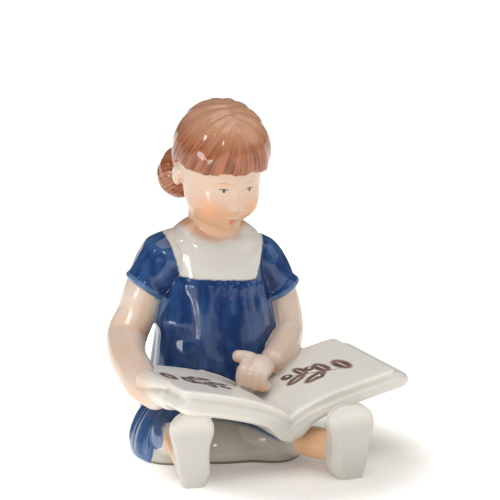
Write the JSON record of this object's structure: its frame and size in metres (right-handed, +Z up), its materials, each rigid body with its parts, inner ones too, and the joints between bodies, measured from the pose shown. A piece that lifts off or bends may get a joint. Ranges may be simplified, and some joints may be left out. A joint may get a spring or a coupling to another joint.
{
  "type": "porcelain figurine of a reading girl",
  "caption": "Small glazed porcelain figurine of a girl in a blue dress who sits on the ground and reads an open picture book. A shelf ornament.",
  "frame": {"origin": "middle of the bounding box's footprint, on the ground that the figurine stands on", "axes": "+Z up, the girl faces -Y, +X is on her left"},
  "size_m": [0.0834, 0.0822, 0.1049],
  "materials": {
    "glazed_porcelain": "glossy clear glaze over cobalt blue, red-brown and flesh underglaze colours on white porcelain"
  },
  "bodies": {
    "root": {"reading_girl": "glazed_porcelain"}
  },
  "joints": []
}
